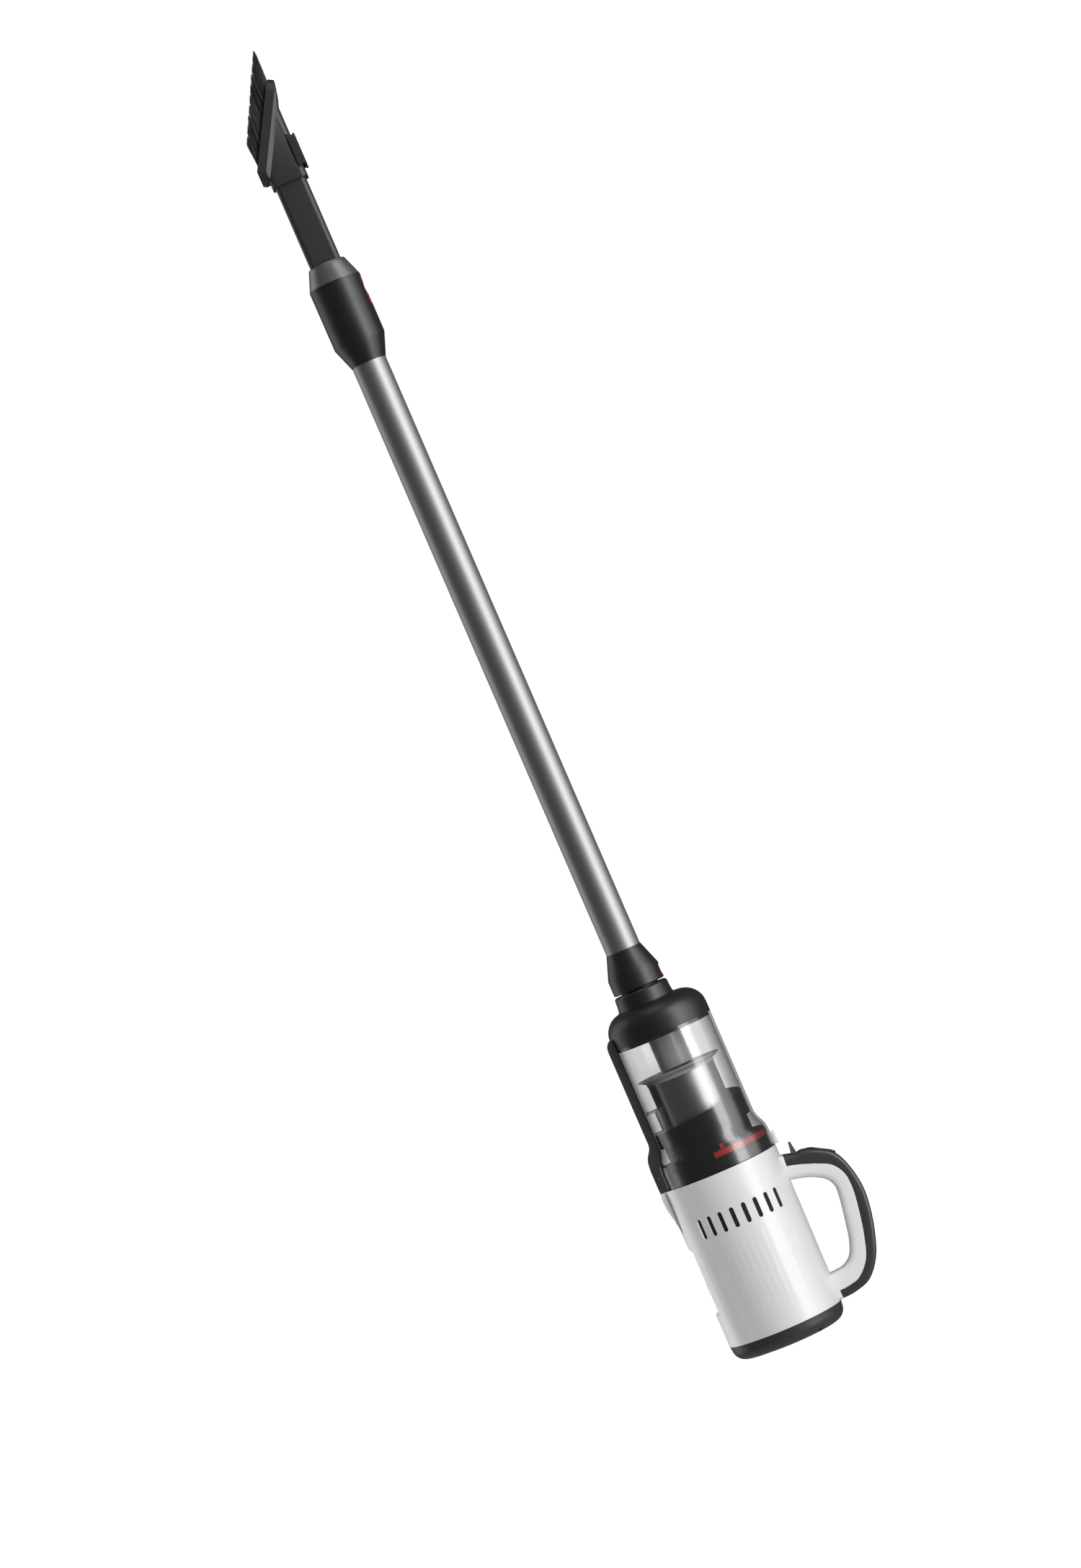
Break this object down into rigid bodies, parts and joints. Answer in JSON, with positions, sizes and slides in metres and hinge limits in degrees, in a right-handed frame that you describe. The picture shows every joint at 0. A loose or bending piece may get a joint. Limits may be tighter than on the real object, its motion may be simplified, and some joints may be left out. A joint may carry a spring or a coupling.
{
  "type": "cordless stick vacuum",
  "caption": "Cordless stick vacuum with a clear cyclone cup, round motor body, D-handle, metal wand and a crevice nozzle with a sliding brush.",
  "frame": {"origin": "on the wand's axis, in the plane of the flat base", "axes": "+Z along the wand from the body to the tool, +X towards the handle, +Y across the handle"},
  "size_m": [0.1683, 0.1044, 1.2376],
  "materials": {
    "white_shell": "satin gloss, fine flutes",
    "dark_cap": "satin",
    "soft_grip": "soft-touch, fine texture",
    "panel_gloss": "gloss black",
    "panel_keys": "satin",
    "lever_grey": "satin",
    "black_plastic": "satin, fine texture",
    "collar_ring": "satin",
    "inner_black": "satin",
    "cyclone_grey": "translucent grey, glossy",
    "clear_cup": "clear, glossy",
    "latch_clear": "smoky, glossy",
    "red_plastic": "satin red",
    "tube_metal": "anodised, fine lengthwise grain",
    "screen_steel": "perforated",
    "steel": "machined",
    "alloy": "machined",
    "copper": "enamelled windings",
    "contact_brass": "plated",
    "board_green": "solder mask",
    "cell_wrap": null,
    "seal_rubber": "matt",
    "foam": "open foam",
    "filter_paper": "pleated",
    "tool_plastic": "satin",
    "bristle": "fine nylon filaments"
  },
  "bodies": {
    "motor_body": {"body_shell": "white_shell", "top_deck": "inner_black", "deck_seal": "seal_rubber", "exhaust_foam": "foam", "fan_housing": "inner_black", "motor_can": "steel", "stator_coils": "copper", "motor_bearings": "steel", "circuit_board": "board_green", "battery_cells": "cell_wrap", "battery_trays": "inner_black", "battery_straps": "steel", "base_cap": "dark_cap", "base_screws": "steel", "charge_contacts": "contact_brass", "handle_shell": "white_shell", "handle_grip": "soft_grip", "control_panel": "panel_gloss", "lever_pin": "steel", "lever_spring": "steel"},
    "rotor": {"rotor_core": "steel", "motor_shaft": "steel", "impeller": "alloy"},
    "power_button": {"power_button": "panel_keys"},
    "mode_button": {"mode_button": "panel_keys"},
    "release_lever": {"release_lever": "lever_grey"},
    "cup": {"dust_cup": "clear_cup", "dome": "black_plastic", "dome_seal": "seal_rubber", "neck_ring": "black_plastic", "inlet_duct": "cyclone_grey", "cup_spine": "dark_cap", "latch_pin": "steel", "latch_spring": "steel"},
    "latch": {"cup_latch": "latch_clear"},
    "cyclone": {"fill_plate": "cyclone_grey", "screen_frame": "inner_black", "steel_screen": "screen_steel", "inlet_spout": "cyclone_grey", "spiral_ramp": "inner_black", "filter_housing": "inner_black"},
    "lock_ring": {"lock_ring": "red_plastic"},
    "filter": {"pleated_filter": "filter_paper", "filter_seal": "seal_rubber"},
    "wand": {"wand_tube": "tube_metal", "lower_collar": "black_plastic", "lower_button_spring": "steel", "upper_collar": "black_plastic", "upper_collar_ring": "collar_ring", "upper_button_spring": "steel", "wand_wire_cover": "inner_black"},
    "lower_button": {"lower_button": "red_plastic"},
    "upper_button": {"upper_button": "red_plastic"},
    "nozzle": {"crevice_nozzle": "tool_plastic"},
    "brush": {"brush_head": "tool_plastic", "brush_bristles": "bristle", "brush_button_spring": "steel"},
    "brush_button": {"brush_button": "tool_plastic"}
  },
  "joints": [
    {"name": "rotor_spin", "type": "hinge", "parent": "motor_body", "child": "rotor", "pos_m": [0.003, 0, 0.12], "axis": [0, 0, 1], "continuous": true},
    {"name": "power_press", "type": "slide", "parent": "motor_body", "child": "power_button", "axis": [-0.4962, 0, -0.8682], "range_m": [0, 0.0008], "stiffness_N_per_m": 600},
    {"name": "mode_press", "type": "slide", "parent": "motor_body", "child": "mode_button", "axis": [-0.4962, 0, -0.8682], "range_m": [0, 0.0008], "stiffness_N_per_m": 600},
    {"name": "release_lever_pull", "type": "hinge", "parent": "motor_body", "child": "release_lever", "pos_m": [0.067, 0, 0.146], "axis": [0, 1, 0], "range_deg": [0, 8], "stiffness_Nm_per_rad": 0.6, "deforming": ["lever_spring"]},
    {"name": "cup_lift", "type": "slide", "parent": "motor_body", "child": "cup", "axis": [0, 0, 1], "range_m": [0, 0.18]},
    {"name": "cyclone_lift", "type": "slide", "parent": "motor_body", "child": "cyclone", "axis": [0, 0, 1], "range_m": [0, 0.08]},
    {"name": "filter_lift", "type": "slide", "parent": "motor_body", "child": "filter", "axis": [0, 0, 1], "range_m": [0, 0.04]},
    {"name": "lock_ring_turn", "type": "hinge", "parent": "cyclone", "child": "lock_ring", "pos_m": [0.003, 0, 0.177], "axis": [0, 0, 1], "range_deg": [0, 12]},
    {"name": "cup_latch_press", "type": "hinge", "parent": "cup", "child": "latch", "pos_m": [-0.0518, 0, 0.1775], "axis": [0, 1, 0], "range_deg": [0, 4.5], "stiffness_Nm_per_rad": 0.8, "deforming": ["latch_spring"]},
    {"name": "wand_pull", "type": "slide", "parent": "cup", "child": "wand", "axis": [0, 0, 1], "range_m": [0, 0.04]},
    {"name": "lower_button_press", "type": "slide", "parent": "wand", "child": "lower_button", "axis": [-1, 0, 0], "range_m": [0, 0.0016], "stiffness_N_per_m": 900, "deforming": ["lower_button_spring"]},
    {"name": "upper_button_press", "type": "slide", "parent": "wand", "child": "upper_button", "axis": [-1, 0, 0], "range_m": [0, 0.0016], "stiffness_N_per_m": 900, "deforming": ["upper_button_spring"]},
    {"name": "tool_pull", "type": "slide", "parent": "wand", "child": "nozzle", "axis": [0, 0, 1], "range_m": [0, 0.05]},
    {"name": "brush_slide", "type": "slide", "parent": "nozzle", "child": "brush", "axis": [0, 0, -1], "range_m": [0, 0.06]},
    {"name": "brush_button_press", "type": "slide", "parent": "brush", "child": "brush_button", "axis": [-1, 0, 0], "range_m": [0, 0.0014], "stiffness_N_per_m": 900, "deforming": ["brush_button_spring"]}
  ],
  "couplings": [
    {"joint": "cyclone_lift", "follows": "cup_lift", "ratio": 0.44},
    {"joint": "filter_lift", "follows": "cup_lift", "ratio": 0.22}
  ]
}
